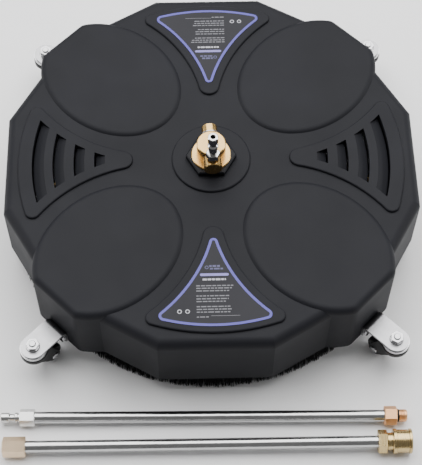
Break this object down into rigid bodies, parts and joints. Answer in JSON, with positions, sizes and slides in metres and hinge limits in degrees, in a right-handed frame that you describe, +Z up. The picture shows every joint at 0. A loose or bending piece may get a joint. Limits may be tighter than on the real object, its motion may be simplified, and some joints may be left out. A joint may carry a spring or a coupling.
{
  "type": "surface cleaner",
  "caption": "Round pressure-washer deck on swivel casters, with a spinning spray bar under a brush skirt, a tilting quick-connect inlet and separate extension tubes.",
  "frame": {"origin": "centre of the footprint of deck, casters and tubes, on the floor", "axes": "+Z up, +Y from the tubes towards the far side of the deck, +X to the right seen from the tubes"},
  "size_m": [0.4844, 0.5686, 0.1958],
  "materials": {
    "deck_plastic": "matt black moulded plastic with a fine grain",
    "label_film": "satin printed film with a periwinkle border",
    "nylon_bristle": "dense black bristles",
    "aluminium_strip": "mill finish channel",
    "stainless": "satin stainless steel",
    "zinc_steel": "bright zinc plate",
    "brass": "turned brass",
    "copper_brass": "turned reddish brass",
    "black_nut": "black moulded clamp nut",
    "rubber": "black nitrile rubber",
    "fork_black": "black powder coat",
    "wheel_plastic": "black moulded wheel",
    "bearing_steel": "polished bearing steel",
    "spring_steel": "drawn spring wire",
    "seat_plastic": "white seat washer"
  },
  "bodies": {
    "deck": {"deck_shell": "deck_plastic", "label_front": "label_film", "label_rear": "label_film", "brush_holder": "aluminium_strip", "brush_bristles": "nylon_bristle", "brush_screws": "zinc_steel", "clamp_nut": "black_nut", "deck_gasket": "rubber", "swivel_head": "brass", "swivel_housing": "brass", "bearing_outer_races": "bearing_steel", "bearing_balls": "bearing_steel", "bearing_circlip": "spring_steel", "shaft_seal": "rubber", "bracket_rear_right": "stainless", "stem_rear_right": "zinc_steel", "bracket_rear_left": "stainless", "stem_rear_left": "zinc_steel", "bracket_front_left": "stainless", "stem_front_left": "zinc_steel", "bracket_front_right": "stainless", "stem_front_right": "zinc_steel", "bracket_bolts": "zinc_steel", "bracket_nuts": "zinc_steel", "caster_nuts": "zinc_steel"},
    "rotor": {"bearing_inner_races": "bearing_steel", "rotor_shaft": "stainless", "rotor_hub": "brass", "hub_cap_nut": "brass", "spray_bars": "stainless", "nozzle_holders": "brass", "nozzle_tips": "stainless"},
    "inlet": {"inlet_elbow": "brass", "inlet_plug": "stainless", "pivot_seals": "rubber", "pivot_circlip": "spring_steel"},
    "caster_rear_right": {"fork_rear_right": "fork_black", "axle_rear_right": "zinc_steel"},
    "roller_rear_right": {"wheel_rear_right": "wheel_plastic"},
    "caster_rear_left": {"fork_rear_left": "fork_black", "axle_rear_left": "zinc_steel"},
    "roller_rear_left": {"wheel_rear_left": "wheel_plastic"},
    "caster_front_left": {"fork_front_left": "fork_black", "axle_front_left": "zinc_steel"},
    "roller_front_left": {"wheel_front_left": "wheel_plastic"},
    "caster_front_right": {"fork_front_right": "fork_black", "axle_front_right": "zinc_steel"},
    "roller_front_right": {"wheel_front_right": "wheel_plastic"},
    "rear_wand": {"rear_wand_tube": "stainless", "rear_wand_plug": "stainless", "rear_wand_nipple": "copper_brass", "rear_wand_oring": "rubber"},
    "front_wand": {"front_wand_tube": "stainless", "front_wand_nut": "brass", "coupler_body": "brass", "coupler_balls": "bearing_steel", "coupler_seal": "seat_plastic", "coupler_snap_ring": "spring_steel", "coupler_spring": "spring_steel"},
    "coupler_grip": {"coupler_sleeve": "brass"}
  },
  "joints": [
    {"name": "rotor_spin", "type": "hinge", "parent": "deck", "child": "rotor", "pos_m": [0.00224, 0.04428, 0.062], "axis": [0, 0, 1], "continuous": true},
    {"name": "inlet_pivot", "type": "hinge", "parent": "deck", "child": "inlet", "pos_m": [0.00224, 0.04428, 0.14], "axis": [-0.061, 0.9981, 0], "range_deg": [-85, 85]},
    {"name": "caster_swivel_rear_right", "type": "hinge", "parent": "deck", "child": "caster_rear_right", "pos_m": [0.20872, 0.25075, 0.041], "axis": [0, 0, 1], "continuous": true},
    {"name": "wheel_roll_rear_right", "type": "hinge", "parent": "caster_rear_right", "child": "roller_rear_right", "pos_m": [0.19493, 0.23696, 0.013], "axis": [-0.7071, 0.7071, 0], "continuous": true},
    {"name": "caster_swivel_rear_left", "type": "hinge", "parent": "deck", "child": "caster_rear_left", "pos_m": [-0.20423, 0.25075, 0.041], "axis": [0, 0, 1], "continuous": true},
    {"name": "wheel_roll_rear_left", "type": "hinge", "parent": "caster_rear_left", "child": "roller_rear_left", "pos_m": [-0.19044, 0.23696, 0.013], "axis": [-0.7071, -0.7071, 0], "continuous": true},
    {"name": "caster_swivel_front_left", "type": "hinge", "parent": "deck", "child": "caster_front_left", "pos_m": [-0.20423, -0.1622, 0.041], "axis": [0, 0, 1], "continuous": true},
    {"name": "wheel_roll_front_left", "type": "hinge", "parent": "caster_front_left", "child": "roller_front_left", "pos_m": [-0.19044, -0.14841, 0.013], "axis": [0.7071, -0.7071, 0], "continuous": true},
    {"name": "caster_swivel_front_right", "type": "hinge", "parent": "deck", "child": "caster_front_right", "pos_m": [0.20872, -0.1622, 0.041], "axis": [0, 0, 1], "continuous": true},
    {"name": "wheel_roll_front_right", "type": "hinge", "parent": "caster_front_right", "child": "roller_front_right", "pos_m": [0.19493, -0.14841, 0.013], "axis": [0.7071, 0.7071, 0], "continuous": true},
    {"name": "rear_wand_lift", "type": "slide", "parent": "deck", "child": "rear_wand", "axis": [0, 0, 1], "range_m": [0, 0.3]},
    {"name": "front_wand_lift", "type": "slide", "parent": "deck", "child": "front_wand", "axis": [0, 0, 1], "range_m": [0, 0.3]},
    {"name": "coupler_sleeve_slide", "type": "slide", "parent": "front_wand", "child": "coupler_grip", "axis": [-0.9999, 0.0082, -0.0062], "range_m": [0, 0.004], "stiffness_N_per_m": 800, "springref_m": -0.004, "deforming": ["coupler_spring"]}
  ]
}
